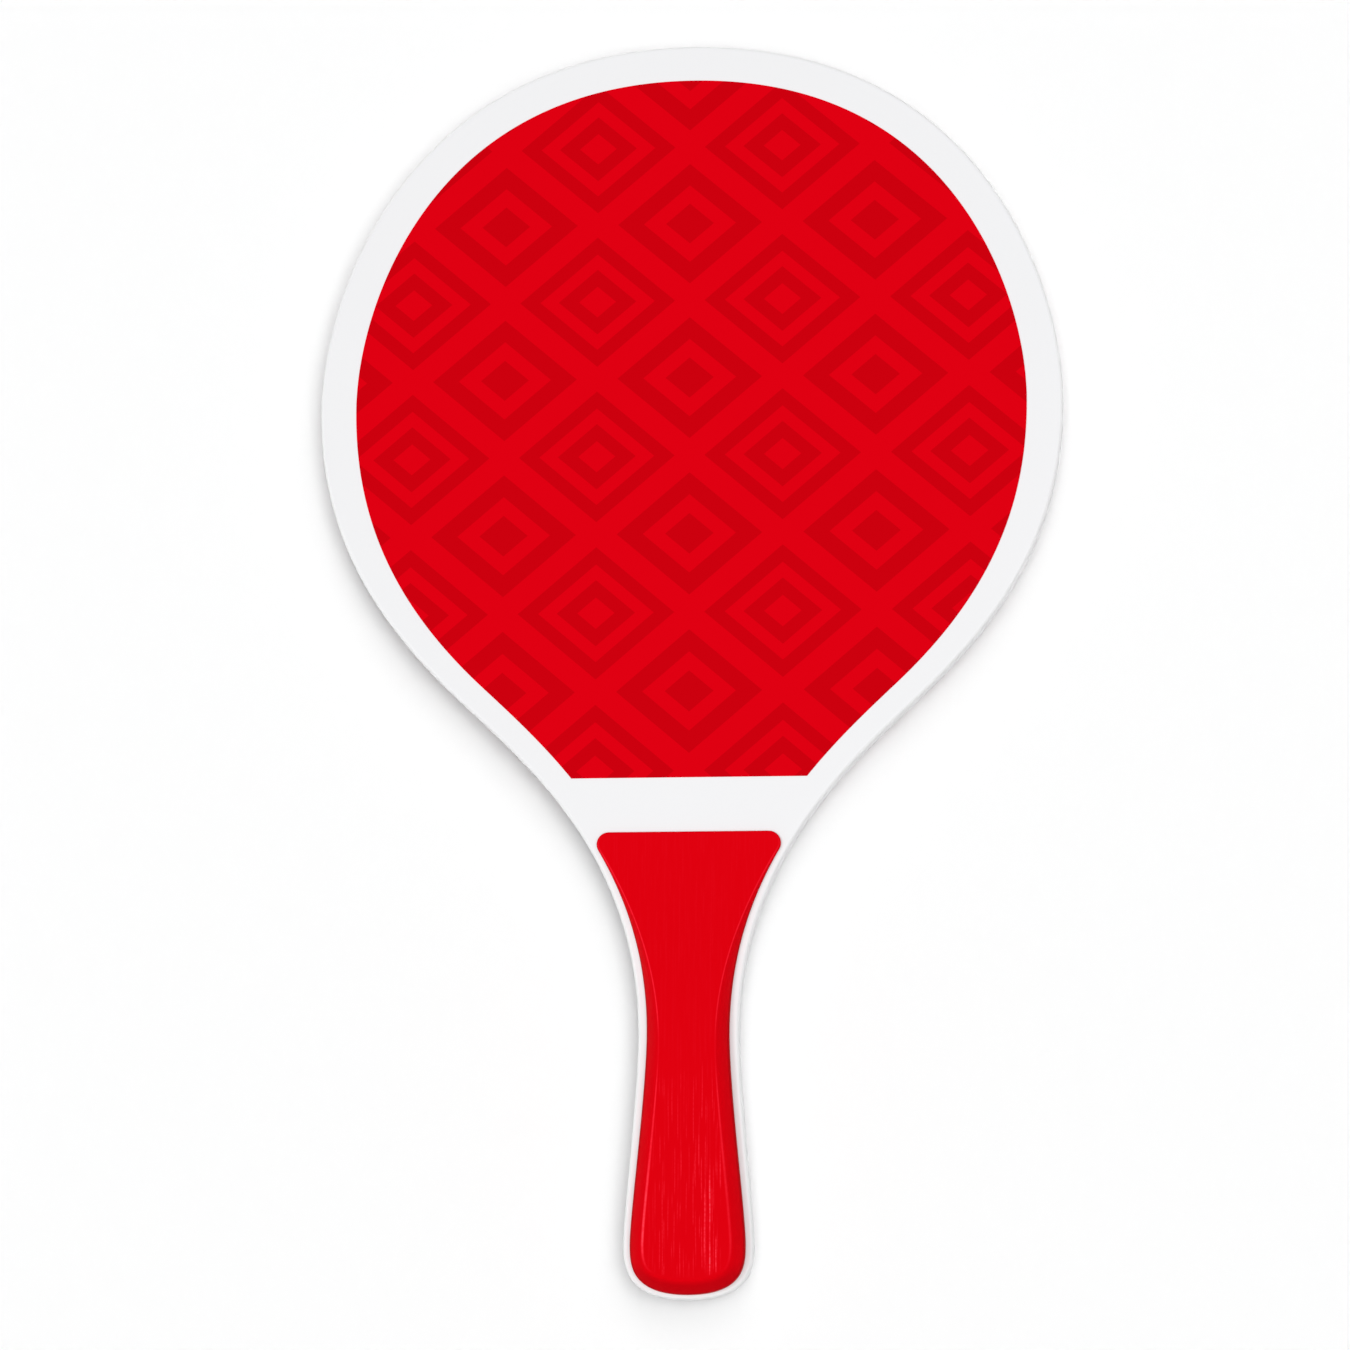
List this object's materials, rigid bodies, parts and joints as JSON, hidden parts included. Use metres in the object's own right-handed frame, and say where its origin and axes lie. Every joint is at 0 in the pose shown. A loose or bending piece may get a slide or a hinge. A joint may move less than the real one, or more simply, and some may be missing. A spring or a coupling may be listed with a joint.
{
  "type": "beach tennis racket",
  "caption": "Flat wooden beach bat with a round head, a printed film on each face and a chamfered wooden grip scale on both sides of its handle.",
  "frame": {"origin": "centre of the bounding box, at the bottom: the flat face of the back grip scale lies at Z = 0", "axes": "+Y from the butt to the crown of the head, +X across the head, +Z out of the front face"},
  "size_m": [0.224, 0.38, 0.0196],
  "materials": {
    "white_lacquer": "white lacquer on veneer, satin",
    "lacquered_rim": "white lacquer over the sanded rim, satin",
    "printed_film": "printed film, satin",
    "painted_grip": "red paint over open wood grain, satin"
  },
  "bodies": {
    "root": {"core_veneer": "lacquered_rim", "cross_veneer_front": "lacquered_rim", "cross_veneer_back": "lacquered_rim", "face_veneer_front": "white_lacquer", "face_veneer_back": "white_lacquer", "face_film_front": "printed_film", "face_film_back": "printed_film", "grip_scale_front": "painted_grip", "grip_scale_back": "painted_grip"}
  },
  "joints": []
}
